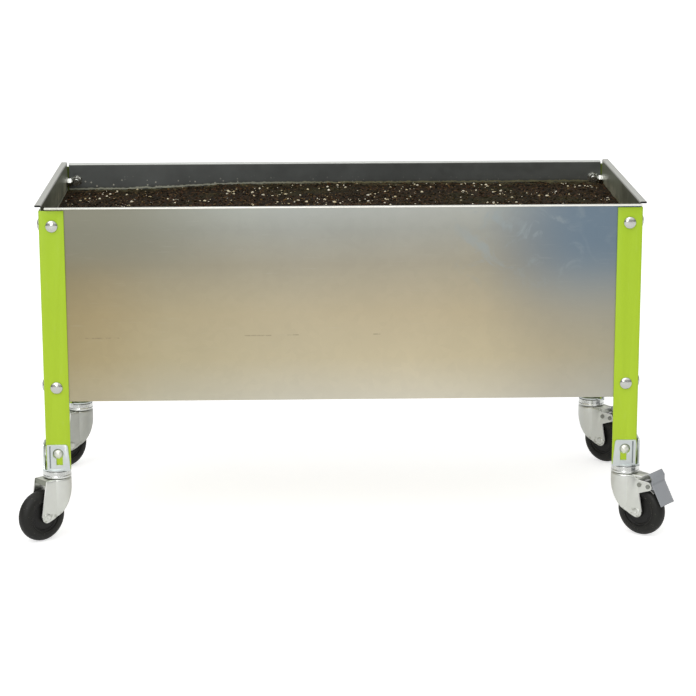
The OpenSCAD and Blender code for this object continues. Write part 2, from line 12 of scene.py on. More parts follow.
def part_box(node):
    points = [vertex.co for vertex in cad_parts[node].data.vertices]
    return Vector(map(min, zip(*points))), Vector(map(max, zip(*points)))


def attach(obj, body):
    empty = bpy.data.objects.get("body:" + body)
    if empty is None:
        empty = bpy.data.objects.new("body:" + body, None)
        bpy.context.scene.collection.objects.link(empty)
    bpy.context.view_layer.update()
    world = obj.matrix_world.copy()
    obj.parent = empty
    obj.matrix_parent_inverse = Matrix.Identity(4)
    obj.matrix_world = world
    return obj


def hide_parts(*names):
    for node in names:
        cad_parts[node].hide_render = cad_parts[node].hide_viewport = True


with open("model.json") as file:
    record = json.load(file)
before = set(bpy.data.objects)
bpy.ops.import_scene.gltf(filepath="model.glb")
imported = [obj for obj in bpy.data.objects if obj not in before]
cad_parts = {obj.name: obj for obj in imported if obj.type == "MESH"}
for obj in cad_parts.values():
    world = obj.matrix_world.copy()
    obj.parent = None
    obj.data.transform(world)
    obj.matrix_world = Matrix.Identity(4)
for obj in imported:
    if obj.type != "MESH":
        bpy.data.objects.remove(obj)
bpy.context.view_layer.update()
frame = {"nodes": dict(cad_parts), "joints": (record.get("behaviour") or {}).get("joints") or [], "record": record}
nodes = frame["nodes"]
joints = {joint["name"]: joint for joint in frame["joints"]}
scene = bpy.context.scene

MM = 0.001
CORNERS = ("front_left", "front_right", "back_left", "back_right")
BRAKED = ("front_right", "back_right")
SIDES, ENDS = ("front", "back", "left", "right"), ("left", "right")
CUT = "cut_edge"  # the attribute that marks the cut and rounded edges of a pressing, where the forks get a painted highlight

# Places in metres: x and y from the trough's middle, z from the floor
LEG_X, LEG_Y = 0.457, 0.220  # the legs' outer faces
WALL_X, WALL_Y = 0.4535, 0.2165  # the middle of the walls' sheets
WALL_LOW, RIM, END_RIM = 0.219, 0.521, 0.524  # the walls' lower edge, and the two heights of rim
BOLT_X, BOLT_Y, BOLT_HEIGHTS = 0.4375, 0.2005, (0.2415, 0.4925)
KEYHOLE_X, KEYHOLE_Y, KEYHOLE_Z = 0.4383, 0.2013, 0.1370  # the brackets' own small bolts
GROOVE_IN = 0.0064  # from a leg's outer corner to the groove in the bracket's flange
SOIL_TOP, SINK = 0.4853, 0.0085  # the soil's level, and how much lower it lies at the left end
SINK_START, SINK_LENGTH = -0.12, 0.27  # where it begins to sink, and over what length
FORK_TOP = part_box("fork_front_left")[1].z

# What is inside the trough at each wall: x or y, and how it compares with the sheet's middle
INSIDE = {"front": (1, "GREATER_THAN", -WALL_Y), "back": (1, "LESS_THAN", WALL_Y),
          "left": (0, "GREATER_THAN", -WALL_X), "right": (0, "LESS_THAN", WALL_X)}

# Level scratches on the front panel: from x, to x, height
SCRATCHES = ((-0.392, -0.340, 0.3183), (-0.149, -0.108, 0.3208),
             (-0.083, -0.066, 0.3214), (0.045, 0.059, 0.3216))


# ---- Building node trees ----

def tone(red, green, blue):
    """A colour as a paint chart gives it, 0 to 255, made linear."""
    def linear(c):
        c /= 255
        return c / 12.92 if c <= 0.04045 else ((c + 0.055) / 1.055) ** 2.4
    return (linear(red), linear(green), linear(blue), 1)


def add(tree, kind, joins=None, **settings):
    """Adds a node. joins names its inputs: a socket is linked, anything else is set as it is."""
    made = tree.nodes.new(kind)
    for key, value in settings.items():
        setattr(made, key, value)
    for key, value in (joins or {}).items():
        if isinstance(value, bpy.types.NodeSocket):
            tree.links.new(value, made.inputs[key])
        else:
            made.inputs[key].default_value = value
    return made


def maths(tree, operation, a, b=0.0):
    """One sum on two numbers or sockets."""
    return add(tree, "ShaderNodeMath", {0: a, 1: b}, operation=operation).outputs[0]


def plus(tree, a, b):
    """The sum of two."""
    return maths(tree, "ADD", a, b)


def minus(tree, a, b):
    """The first less the second."""
    return maths(tree, "SUBTRACT", a, b)


def times(tree, product, *others):
    """The product of all."""
    for other in others:
        product = maths(tree, "MULTIPLY", product, other)
    return product


def distance(tree, a, b=0.0):
    """How far one number is from another, or from nought."""
    return maths(tree, "ABSOLUTE", minus(tree, a, b))


def fade(tree, value, start, end, low=0.0, high=1.0, way="SMOOTHSTEP"):
    """Goes from low to high, and no further, while value goes from start to end."""
    limits = {"From Min": start, "From Max": end, "To Min": low, "To Max": high}
    made = add(tree, "ShaderNodeMapRange", {"Value": value, **limits}, interpolation_type=way)
    return made.outputs["Result"]


def paint(tree, factor, under, over, way="MIX"):
    """Lays one colour over another."""
    made = add(tree, "ShaderNodeMix", {0: factor, 6: under, 7: over},
               data_type="RGBA", blend_type=way)
    return made.outputs[2]


def ramp(tree, value, stops):
    """A row of colours along a value from 0 to 1."""
    made = add(tree, "ShaderNodeValToRGB", {"Fac": value})
    points = made.color_ramp.elements
    while len(points) < len(stops):
        points.new(0.5)
    for point, (share, colour) in zip(points, stops):
        point.position = share
        point.color = colour
    return made.outputs["Color"]


def tinted(tree, colour, value):
    """A colour made lighter or darker by a number."""
    grey = add(tree, "ShaderNodeCombineColor", {0: value, 1: value, 2: value}).outputs[0]
    return paint(tree, 1.0, colour, grey, "MULTIPLY")


def axes(tree, spot):
    """A place's x, y and z."""
    return add(tree, "ShaderNodeSeparateXYZ", {0: spot}).outputs


def blotches(tree, spot, scale, detail=2.0, **more):
    """Cloudy noise from 0 to 1."""
    joins = {"Vector": spot, "Scale": scale, "Detail": detail, **more}
    return add(tree, "ShaderNodeTexNoise", joins).outputs["Fac"]


def cell_values(tree, spot, scale):
    """Small cells, each with a number of its own."""
    cells = add(tree, "ShaderNodeTexVoronoi", {"Vector": spot, "Scale": scale})
    return add(tree, "ShaderNodeSeparateColor", {0: cells.outputs["Color"]}).outputs[0]


def begin(name):
    """A new finish: its material, its tree, and the place on the piece."""
    made = bpy.data.materials.new(name)
    made.use_nodes = True
    tree = made.node_tree
    tree.nodes.clear()
    return made, tree, add(tree, "ShaderNodeTexCoord").outputs["Object"]


def close(made, **joins):
    """Ends a finish with a surface whose inputs are named, an underscore for each space."""
    joins = {key.replace("_", " "): value for key, value in joins.items()}
    shader = add(made.node_tree, "ShaderNodeBsdfPrincipled", joins)
    add(made.node_tree, "ShaderNodeOutputMaterial", {"Surface": shader.outputs[0]})
    return made


# ---- Camera, floor and light ----

def place_camera():
    """The photograph's viewpoint, worked out from the trough's corners and the legs."""
    yaw, pitch, roll = (math.radians(a) for a in (1.495, 13.298, -0.121))
    standpoint = (-0.0802, -3.6458, 1.1107)
    focal_pixels, photo_pixels, sensor_mm = 2300, 696, 36
    ahead = Vector((math.sin(yaw) * math.cos(pitch), math.cos(yaw) * math.cos(pitch),
                    -math.sin(pitch)))
    level = Vector((math.cos(yaw), -math.sin(yaw), 0))
    upright = level.cross(ahead)
    right = math.cos(roll) * level + math.sin(roll) * upright
    up = math.cos(roll) * upright - math.sin(roll) * level
    camera = bpy.data.objects.new("camera", bpy.data.cameras.new("camera"))
    camera.data.sensor_width = sensor_mm
    camera.data.lens = focal_pixels / photo_pixels * sensor_mm
    camera.data.clip_start, camera.data.clip_end = 0.1, 100
    turn = Matrix((right, up, -ahead)).transposed().to_4x4()
    camera.matrix_world = Matrix.Translation(standpoint) @ turn
    scene.collection.objects.link(camera)
    scene.camera = camera


def mirrored(tree, path):
    """1 where something shows in a shiny surface or through a clear one."""
    return maths(tree, "MAXIMUM", path["Is Glossy Ray"], path["Is Transmission Ray"])


def make_surround():
    """White behind the planter, grey as light, and shaded low down and sideways in reflections."""
    world = bpy.data.worlds.new("studio")
    scene.world = world
    world.use_nodes = True
    tree = world.node_tree
    tree.nodes.clear()
    path = add(tree, "ShaderNodeLightPath").outputs
    way = axes(tree, add(tree, "ShaderNodeTexCoord").outputs["Generated"])
    sideways = fade(tree, distance(tree, way[0]), 0.45, 0.95, 1.0, 0.58)
    low = fade(tree, way[2], 0.22, 0.50, 0.38, 1.0)
    strengths = (0.61, times(tree, sideways, low), 1.0)
    lighting, reflected, behind = (
        add(tree, "ShaderNodeBackground", {"Color": (1, 1, 1, 1), "Strength": strength}).outputs[0]
        for strength in strengths)
    around = add(tree, "ShaderNodeMixShader",
                 {0: mirrored(tree, path), 1: lighting, 2: reflected}).outputs[0]
    whole = add(tree, "ShaderNodeMixShader", {0: path["Is Camera Ray"], 1: around, 2: behind})
    add(tree, "ShaderNodeOutputWorld", {"Surface": whole.outputs[0]})


def make_floor():
    """Pale paper that takes the shadows, and glows a little so that it reads as white."""
    bm = bmesh.new()
    bmesh.ops.create_grid(bm, x_segments=2, y_segments=2, size=60)
    mesh = bpy.data.meshes.new("studio_floor")
    bm.to_mesh(mesh)
    bm.free()
    floor = bpy.data.objects.new("studio_floor", mesh)
    scene.collection.objects.link(floor)
    cover, tree, spot = begin("floor_paper")
    path = add(tree, "ShaderNodeLightPath").outputs
    mottled = paint(tree, blotches(tree, spot, 3.0), (0.8, 0.8, 0.8, 1), (0.81, 0.81, 0.81, 1))
    paper = add(tree, "ShaderNodeBsdfDiffuse", {"Color": mottled})
    seen = times(tree, path["Is Camera Ray"], 0.60)
    shone = times(tree, mirrored(tree, path), 0.25)
    glow = add(tree, "ShaderNodeEmission", {"Strength": plus(tree, seen, shone)})
    both = add(tree, "ShaderNodeAddShader", {0: paper.outputs[0], 1: glow.outputs[0]})
    add(tree, "ShaderNodeOutputMaterial", {"Surface": both.outputs[0]})
    mesh.materials.append(cover)


def hang_lamp(name, kind, aim, where=(0, 0, 0), **settings):
    """A lamp that shines along aim."""
    light = bpy.data.lights.new(name, kind)
    for key, value in settings.items():
        setattr(light, key, value)
    lamp = bpy.data.objects.new(name, light)
    lamp.location = where
    lamp.rotation_euler = aim.to_track_quat("-Z", "Y").to_euler()
    scene.collection.objects.link(lamp)
    return lamp


def light_the_studio():
    """A white surround over a pale floor, a broad soft sun, and a box lamp for the highlights."""
    make_surround()
    make_floor()
    hang_lamp("overhead", "SUN", Vector((0.35, 0.75, -1.1)), energy=0.76, angle=math.radians(50))
    where = Vector((-0.75, -3.5, 1.25))
    box = hang_lamp("softbox", "AREA", Vector((0, 0, 0.3)) - where, where, shape="RECTANGLE",
                    size=0.7, size_y=0.9, energy=16)
    box.visible_camera = False
    scene.view_settings.view_transform = "Standard"


# ---- Effects that several finishes share ----

def effect(name, result, **settings):
    """An empty node group that works on a Vector, with its inputs and its result. A setting
    without a value is a vector too."""
    group = bpy.data.node_groups.new(name, "ShaderNodeTree")
    for label, value in {"Vector": None, **settings}.items():
        kind = "NodeSocketVector" if value is None else "NodeSocketFloat"
        socket = group.interface.new_socket(name=label, in_out="INPUT", socket_type=kind)
        if value is not None:
            socket.default_value = value
    kind = "NodeSocketVector" if result == "Normal" else "NodeSocketFloat"
    group.interface.new_socket(name=result, in_out="OUTPUT", socket_type=kind)
    given, end = add(group, "NodeGroupInput").outputs, add(group, "NodeGroupOutput").inputs
    return group, given, end[result]


def make_clouds():
    """Broad soft variation round 1, for a colour to be multiplied by."""
    group, given, result = effect("soft_clouds", "Value", Scale=6.0, Amount=0.1)
    spots = blotches(group, given["Vector"], given["Scale"], 4.0, Roughness=0.6)
    widened = times(group, minus(group, spots, 0.5), 3.0, given["Amount"])
    group.links.new(plus(group, widened, 1.0), result)
    return group


def make_grain():
    """A fine uneven surface as a normal."""
    group, given, result = effect("fine_grain", "Normal", Scale=900.0, Strength=0.1, Depth=0.0002)
    height = blotches(group, given["Vector"], given["Scale"], 3.0)
    bump = add(group, "ShaderNodeBump", {"Height": height, "Strength": given["Strength"],
                                         "Distance": given["Depth"]})
    group.links.new(bump.outputs[0], result)
    return group


def make_scuffs():
    """Thin broken marks along one direction, as a mask."""
    group, given, result = effect("scuffs", "Mask", Stretch=None, Amount=0.5)
    pulled = add(group, "ShaderNodeVectorMath", {0: given["Vector"], 1: given["Stretch"]},
                 operation="MULTIPLY")
    lines = blotches(group, pulled.outputs[0], 1.0, 5.0, Roughness=0.7)
    thin = fade(group, lines, 0.58, 0.72)
    group.links.new(times(group, thin, given["Amount"]), result)
    return group


def make_specks():
    """Scattered small round spots, as a mask."""
    group, given, result = effect("specks", "Mask", Scale=200.0, Size=0.2, Share=0.2)
    cells = add(group, "ShaderNodeTexVoronoi",
                {"Vector": given["Vector"], "Scale": given["Scale"]}).outputs
    round_spot = maths(group, "LESS_THAN", cells["Distance"], given["Size"])
    number = add(group, "ShaderNodeSeparateColor", {0: cells["Color"]}).outputs[0]
    chosen = maths(group, "LESS_THAN", number, given["Share"])
    group.links.new(times(group, round_spot, chosen), result)
    return group


CLOUDS, GRAIN, SCUFFS, SPECKS = make_clouds(), make_grain(), make_scuffs(), make_specks()


def place(tree, group, spot, **settings):
    """One of the shared effects, at work on a place."""
    joins = {"Vector": spot, **settings}
    return add(tree, "ShaderNodeGroup", joins, node_tree=group).outputs[0]


# ---- Galvanised sheet ----

def scratches(tree, spot):
    """The front panel's few scratches, thin and broken, as a mask."""
    x, _, z = axes(tree, spot)
    marks = 0.0
    for left, right, height in SCRATCHES:
        along = times(tree, maths(tree, "GREATER_THAN", x, left),
                      maths(tree, "LESS_THAN", x, right))
        thin = fade(tree, distance(tree, z, height), 0.0004, 0.0013, 1.0, 0.0)
        marks = plus(tree, marks, times(tree, along, thin))
    return times(tree, marks, fade(tree, blotches(tree, spot, 140.0), 0.40, 0.62))


def front_reflection_and_marks(tree, spot, body):
    """The front panel's painted reflection, dusky at the left, with painted shade at the upper left and blue at
    the upper right, and its smears and scratches.
    """
    x, _, z = axes(tree, spot)
    # Painted reflection across the panel: dark and warm at the left end, darker and cooler at the right end.
    across = ramp(tree, fade(tree, x, -0.45, 0.45, way="LINEAR"), [
        (0.00, (0.62, 0.58, 0.46, 1)), (0.10, (0.72, 0.68, 0.58, 1)),
        (0.20, (0.80, 0.79, 0.74, 1)), (0.42, (0.93, 0.93, 0.93, 1)),
        (0.62, (1.00, 0.99, 0.98, 1)), (0.74, (0.98, 0.97, 0.95, 1)),
        (0.86, (0.80, 0.80, 0.81, 1)), (1.00, (0.72, 0.76, 0.82, 1))])
    body = paint(tree, 1.0, body, across, "MULTIPLY")
    # Painted shade on the upper left corner.
    corner = times(tree, fade(tree, x, -0.36, -0.14, 1.0, 0.0), fade(tree, z, 0.40, 0.47), 0.7)
    body = paint(tree, corner, body, tone(132, 131, 117))
    # Painted reflection: blue grey on the upper right, cooler higher up.
    blue = times(tree, fade(tree, x, 0.18, 0.38), fade(tree, z, 0.28, 0.44), 0.9)
    cold = paint(tree, fade(tree, z, 0.34, 0.47), tone(160, 164, 160), tone(114, 133, 149))
    body = paint(tree, blue, body, cold)
    body = paint(tree, times(tree, scratches(tree, spot), 0.36), body, tone(98, 88, 74))
    drift = blotches(tree, spot, 20.0, 6.0, Roughness=0.62, Distortion=1.6)
    smears = times(tree, fade(tree, drift, 0.50, 0.68, 0.0, 0.55), fade(tree, x, 0.15, 0.21),
                   fade(tree, x, 0.30, 0.40, 1.0, 0.25), fade(tree, z, 0.36, 0.47))
    return paint(tree, smears, body, tone(158, 168, 171))


def end_wall_dirt_and_shade(tree, spot, wall):
    """An end panel's inside: painted shade towards the front, with dried mud and stains, and painted shade in the
    corner by the front wall.
    """
    _, y, z = axes(tree, spot)
    # Painted shade, deeper towards the front.
    wall = tinted(tree, wall, fade(tree, y, -0.21, 0.08, 0.62, 1.04))
    mud = fade(tree, blotches(tree, spot, 34.0, 5.0, Roughness=0.65), 0.46, 0.58, 0.0, 0.8)
    low_down = fade(tree, z, SOIL_TOP + 0.0027, SOIL_TOP + 0.0207, 1.0, 0.08)
    wall = paint(tree, times(tree, mud, low_down), wall, tone(206, 204, 180))
    stain = fade(tree, blotches(tree, spot, 17.0, 3.0), 0.50, 0.66, 0.0, 0.5)
    wall = paint(tree, stain, wall, tone(86, 88, 72))
    # Painted shade in the corner by the front wall.
    return tinted(tree, wall, fade(tree, y, -WALL_Y, 0.006 - WALL_Y, 0.15, 1.0))


def inner_wall(tree, spot, side):
    """A wall above the soil: dull, wet at the soil's edge, with a pale tide line and crumbs."""
    x, _, z = axes(tree, spot)
    clouded = place(tree, CLOUDS, spot, Scale=14.0, Amount=0.2)
    wall = tinted(tree, tone(140, 144, 124) if side in ENDS else tone(112, 115, 113), clouded)
    if side == "back":
        wall = paint(tree, fade(tree, x, 0.05, 0.40), wall, tone(128, 131, 128))
    sunk = fade(tree, x, SINK_START - SINK_LENGTH, SINK_START, SINK, 0.0)
    above = plus(tree, z, sunk)
    wet = fade(tree, above, SOIL_TOP + 0.0007, SOIL_TOP + 0.0082, 1.0, 0.0)
    dirt = place(tree, CLOUDS, spot, Scale=160.0, Amount=0.5)
    wall = paint(tree, times(tree, wet, dirt, 0.35), wall, tone(70, 66, 54))
    ragged = times(tree, minus(tree, blotches(tree, spot, 130.0, 3.0), 0.5), 0.006)
    off_line = distance(tree, above, plus(tree, ragged, SOIL_TOP + 0.0015))
    tide = fade(tree, off_line, 0.0007, 0.0020, 0.75, 0.0)
    crust = paint(tree, fade(tree, x, -0.20, 0.06), tone(214, 216, 196), tone(176, 170, 128))
    wall = paint(tree, tide, wall, crust)
    if side in ENDS:
        wall = end_wall_dirt_and_shade(tree, spot, wall)
    crumbs = place(tree, SPECKS, spot, Scale=210.0, Size=0.28, Share=0.22)
    near = times(tree, fade(tree, z, SOIL_TOP + 0.0007, SOIL_TOP + 0.0167, 1.0, 0.0),
                 fade(tree, x, -0.40, 0.15, 1.0, 0.25))
    return paint(tree, times(tree, crumbs, near), wall, tone(214, 212, 196))


def folded_rim(tree, spot, side, body):
    """The rim with a painted highlight, and how much less it mirrors. An end rim has painted shade at its open
    ends.
    """
    x, y, z = axes(tree, spot)
    if side in ENDS:
        # Painted highlight on an end rim.
        rim = fade(tree, z, END_RIM - 0.0036, END_RIM - 0.0029)
        body = paint(tree, rim, body, tone(204, 205, 197))
        # Painted shade at the open ends of the end rim's fold, nearly black.
        open_end = fade(tree, distance(tree, y), 0.2150, 0.2154)
        return paint(tree, times(tree, rim, open_end), body, tone(8, 8, 6)), times(tree, rim, 0.7)
    # Painted highlight on the back and front rims.
    rim = fade(tree, z, RIM - 0.0030, RIM - 0.0018)
    if side == "back":
        return paint(tree, rim, body, tone(214, 217, 211)), times(tree, rim, 0.7)
    # The front rim's painted highlight is brighter from a little in from the left end.
    lit = paint(tree, fade(tree, x, -0.44, -0.20), tone(226, 226, 216), tone(248, 247, 238))
    return paint(tree, rim, body, lit), times(tree, rim, 0.2)


def galvanised(side):
    """Dull zinc sheet with fine crystals, and a painted reflection: pale and warm low down, cooler towards the
    rim.
    """
    made, tree, spot = begin("galvanised_" + side)
    at = axes(tree, spot)
    # Painted reflection by height: pale and warm low down, cooler towards the rim.
    body = ramp(tree, fade(tree, at[2], WALL_LOW, RIM, way="LINEAR"), [
        (0.00, tone(213, 208, 190)), (0.22, tone(204, 193, 163)), (0.45, tone(194, 182, 153)),
        (0.70, tone(171, 165, 147)), (0.88, tone(168, 169, 161)), (1.00, tone(183, 186, 180))])
    facet = cell_values(tree, spot, 95.0)
    flake = plus(tree, times(tree, facet, 0.035), 0.982)
    clouds = place(tree, CLOUDS, spot, Scale=5.0, Amount=0.05)
    body = tinted(tree, body, times(tree, clouds, flake))
    if side == "front":
        body = front_reflection_and_marks(tree, spot, body)
    rub = place(tree, SCUFFS, spot, Stretch=(14, 14, 300), Amount=0.10)
    body = paint(tree, rub, body, tone(205, 204, 196))
    dull = 0.0
    if side in SIDES:
        axis, test, middle = INSIDE[side]
        inside = maths(tree, test, at[axis], middle)
        body = paint(tree, inside, body, inner_wall(tree, spot, side))
        body, dull = folded_rim(tree, spot, side, body)
        if side in ENDS:
            dull = maths(tree, "MAXIMUM", dull, times(tree, inside, 0.6))
    waves = add(tree, "ShaderNodeBump", {"Height": blotches(tree, spot, 9.0), "Strength": 0.12,
                                         "Distance": 0.004})
    return close(made, Base_Color=body, Roughness=plus(tree, times(tree, facet, 0.05), 0.36),
                 Metallic=minus(tree, 1.0, dull), Normal=waves.outputs[0])


# ---- Zinc plating, and the marks and painted light and shade that some of it has ----
# A mark gives rows of where it is, its colour, and whether the metal mirrors less there.

def painted_joint_shade(tree, spot):
    """Painted shade in the joint on the shoulder of a drum, under the bracket."""
    shoulder_z = 0.1086
    z = axes(tree, spot)[2]
    # Painted shade: a dark line round the drum's shoulder.
    yield fade(tree, z, shoulder_z - 0.0006, shoulder_z, 0.0, 0.9), tone(44, 49, 46), False


def stained_tips(tree, spot):
    """Stains round the axle, on the lower ends of a fork."""
    tip_z = 0.048
    rubbed = fade(tree, blotches(tree, spot, 170.0, 4.0), 0.46, 0.60, 0.0, 0.55)
    low_down = fade(tree, axes(tree, spot)[2], tip_z - 0.008, tip_z, 1.0, 0.0)
    yield times(tree, rubbed, low_down), tone(138, 138, 122), False


def shaded_grooves(tree, spot):
    """The shadow in the groove of each bracket flange."""
    x, y, z = axes(tree, spot)
    tall = times(tree, fade(tree, z, 0.1136, 0.1144), fade(tree, z, 0.1490, 0.1498, 1.0, 0.0))
    for along, corner in ((x, LEG_X), (y, LEG_Y)):
        off = distance(tree, distance(tree, along), corner - GROOVE_IN)
        line = fade(tree, off, 0.0003, 0.0014, 0.6, 0.0)
        yield times(tree, line, tall), tone(112, 120, 124), False


def painted_cut_highlights(tree, _):
    """Painted highlight on the cut and rounded edges of a fork."""
    marked = add(tree, "ShaderNodeAttribute", attribute_name=CUT).outputs["Fac"]
    # Painted highlight: near white, with less mirroring.
    yield times(tree, marked, 0.85), tone(254, 254, 249), True


def darker_crown(tree, spot):
    """The flat top of a fork, painted darker and yellower."""
    top = fade(tree, axes(tree, spot)[2], FORK_TOP - 0.0003, FORK_TOP, 0.0, 0.8)
    yield top, tone(186, 188, 172), False


def shaded_lip(tree, spot):
    """The front-left fork's rear lip between its side plates, which faces away from the light."""
    x, y, z = axes(tree, spot)
    pivot, hub = (joints[kind + "front_left"]["pos_m"] for kind in ("swivel_turn_", "wheel_spin_"))
    trail = math.hypot(hub[0] - pivot[0], hub[1] - pivot[1])
    ahead, aside = (hub[0] - pivot[0]) / trail, (hub[1] - pivot[1]) / trail
    east, north = minus(tree, x, pivot[0]), minus(tree, y, pivot[1])
    run, across = (plus(tree, times(tree, east, a), times(tree, north, b))
                   for a, b in ((ahead, aside), (-aside, ahead)))
    rear = times(tree, fade(tree, run, 0.0299, 0.0304),
                 fade(tree, z, FORK_TOP - 0.0086, FORK_TOP - 0.0080),
                 fade(tree, distance(tree, across), 0.0147, 0.0153, 1.0, 0.0))
    yield times(tree, rear, 0.9), tone(128, 131, 117), False


def zinc(name, colour, roughness, *marks):
    """Zinc plating, a little cloudy and rubbed, with any of the marks."""
    made, tree, spot = begin(name)
    body = tinted(tree, colour, place(tree, CLOUDS, spot, Scale=60.0, Amount=0.05))
    rub = place(tree, SCUFFS, spot, Stretch=(260, 260, 500), Amount=0.2)
    body = paint(tree, rub, body, tone(232, 233, 228))
    metal = 1.0
    for mark in marks:
        for share, over, dulls in mark(tree, spot):
            body = paint(tree, share, body, over)
            if dulls:
                metal = minus(tree, metal, share)
    uneven = place(tree, CLOUDS, spot, Scale=150.0, Amount=0.25)
    grain = place(tree, GRAIN, spot, Scale=1400.0, Strength=0.08, Depth=0.0002)
    return close(made, Base_Color=body, Roughness=times(tree, uneven, roughness),
                 Metallic=metal, Normal=grain)


# ---- Other finishes ----

def green_powder_coat():
    """The legs' coat: dirt and painted shade on the inner faces up in the trough, painted shade on them low down
    at the foot, and painted shade in the keyholes round the small bolts.
    """
    made, tree, spot = begin("green_powder_coat")
    x, y, z = axes(tree, spot)
    body = ramp(tree, fade(tree, z, 0.11, 0.52, way="LINEAR"),
                [(0.0, tone(186, 216, 50)), (1.0, tone(174, 208, 40))])
    body = tinted(tree, body, place(tree, CLOUDS, spot, Scale=9.0, Amount=0.03))
    scuff = place(tree, SCUFFS, spot, Stretch=(90, 90, 22), Amount=0.12)
    body = paint(tree, scuff, body, tone(200, 222, 112))
    inner = times(tree, maths(tree, "LESS_THAN", distance(tree, x), LEG_X - 0.0022),
                  maths(tree, "LESS_THAN", distance(tree, y), LEG_Y - 0.0022))
    # Inside the trough: dirt and painted shade up high, painted shade low down near the foot.
    grime_and_shade = maths(tree, "MAXIMUM", fade(tree, z, 0.40, 0.44, 0.0, 0.8),
                  fade(tree, z, 0.135, 0.165, 0.7, 0.0))
    body = paint(tree, times(tree, inner, grime_and_shade), body, tone(66, 72, 34))
    # Painted shade in each keyhole, above the small bolt's head.
    up = minus(tree, z, KEYHOLE_Z)
    for along, centre in ((x, KEYHOLE_X), (y, KEYHOLE_Y)):
        off = minus(tree, distance(tree, along), centre)
        away = maths(tree, "SQRT", plus(tree, times(tree, off, off), times(tree, up, up)))
        keyhole_shade = times(tree, fade(tree, away, 0.0084, 0.0094, 1.0, 0.0),
                    fade(tree, up, -0.0045, 0.0, 0.0, 0.85))
        body = paint(tree, keyhole_shade, body, tone(74, 82, 60))
    grain = place(tree, GRAIN, spot, Scale=700.0, Strength=0.10, Depth=0.0003)
    return close(made, Base_Color=body, Roughness=0.42, Normal=grain, Specular_IOR_Level=0.35)


def black_rubber():
    """Worn tyre rubber with dust in it."""
    made, tree, spot = begin("black_rubber_worn")
    body = tinted(tree, tone(22, 22, 18), place(tree, CLOUDS, spot, Scale=45.0, Amount=0.2))
    dust = place(tree, SPECKS, spot, Scale=420.0, Size=0.25, Share=0.10)
    body = paint(tree, times(tree, dust, 0.5), body, tone(112, 108, 96))
    grain = place(tree, GRAIN, spot, Scale=1100.0, Strength=0.18, Depth=0.0003)
    return close(made, Base_Color=body, Roughness=0.5, Normal=grain, Specular_IOR_Level=0.38)


def hub_plastic():
    """Black moulded plastic."""
    made, tree, spot = begin("black_hub_plastic")
    body = tinted(tree, tone(17, 17, 15), place(tree, CLOUDS, spot, Scale=60.0, Amount=0.12))
    grain = place(tree, GRAIN, spot, Scale=900.0, Strength=0.1, Depth=0.0003)
    return close(made, Base_Color=body, Roughness=0.46, Normal=grain, Specular_IOR_Level=0.38)


def pedal_grey():
    """The pedals' grey coat, with painted shade in the bend and on the face above it."""
    made, tree, spot = begin("grey_pedal_coat")
    z = axes(tree, spot)[2]
    body = tinted(tree, tone(166, 169, 173), place(tree, CLOUDS, spot, Scale=40.0, Amount=0.04))
    scuff = place(tree, SCUFFS, spot, Stretch=(120, 120, 120), Amount=0.2)
    body = paint(tree, scuff, body, tone(178, 180, 184))
    bend_z = joints["pedal_lift_front_right"]["pos_m"][2] + 5.7 * MM
    # Painted shade in the bend.
    fold = fade(tree, distance(tree, z, bend_z), 0.0006, 0.0026, 0.35, 0.0)
    body = paint(tree, fold, body, tone(108, 113, 117))
    # Painted shade on the face above the bend.
    body = paint(tree, fade(tree, z, bend_z, bend_z + 0.004, 0.0, 0.22), body, tone(124, 129, 134))
    grain = place(tree, GRAIN, spot, Scale=900.0, Strength=0.12, Depth=0.0003)
    return close(made, Base_Color=body, Roughness=0.5, Metallic=0.2, Normal=grain)


def damp_soil(name, granule_scale):
    """Dark bark mix. Every granule has its own brown, and a few are reddish or straw coloured."""
    made, tree, spot = begin(name)
    body = ramp(tree, cell_values(tree, spot, granule_scale), [
        (0.00, tone(16, 13, 7)), (0.35, tone(29, 24, 13)), (0.65, tone(41, 33, 18)),
        (0.84, tone(56, 41, 23)), (0.94, tone(80, 50, 31)), (1.00, tone(122, 100, 60))])
    body = tinted(tree, body, place(tree, CLOUDS, spot, Scale=22.0, Amount=0.28))
    moss = fade(tree, blotches(tree, spot, 11.0, 3.0), 0.50, 0.68, 0.0, 0.55)
    body = paint(tree, moss, body, tone(46, 46, 25))
    scum = times(tree, fade(tree, blotches(tree, spot, 75.0, 3.0), 0.42, 0.60),
                 fade(tree, axes(tree, spot)[1], 0.180, 0.216, 0.0, 0.55))
    body = paint(tree, scum, body, tone(108, 104, 78))
    grain = place(tree, GRAIN, spot, Scale=600.0, Strength=0.6, Depth=0.0008)
    return close(made, Base_Color=body, Roughness=0.9, Normal=grain, Specular_IOR_Level=0.12)


def perlite():
    """White expanded grains, some of them yellowed."""
    made, tree, spot = begin("perlite_white")
    body = ramp(tree, cell_values(tree, spot, 160.0), [
        (0.00, tone(196, 176, 128)), (0.35, tone(232, 220, 184)), (1.00, tone(252, 246, 228))])
    grain = place(tree, GRAIN, spot, Scale=1200.0, Strength=0.5, Depth=0.0005)
    return close(made, Base_Color=body, Roughness=0.8, Normal=grain)


# ---- Making pieces ----

def body_with(node):
    """The body that carries a node."""
    bodies = frame["record"]["behaviour"]["bodies"]
    return next(body for body, members in bodies.items() if node in members)


def finish_piece(bm, name, node, material, sharp=28, smooth=True):
    """Turns a bmesh into a piece that stands for a node, with its body and finish slot."""
    mesh = bpy.data.meshes.new(name)
    if smooth:
        for face in bm.faces:
            face.smooth = True
    bm.to_mesh(mesh)
    bm.free()
    mesh.set_sharp_from_angle(angle=math.radians(sharp))
    piece = bpy.data.objects.new(name, mesh)
    scene.collection.objects.link(piece)
    mesh.materials.append(material)
    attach(piece, body_with(node))
    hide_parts(node)
    return piece


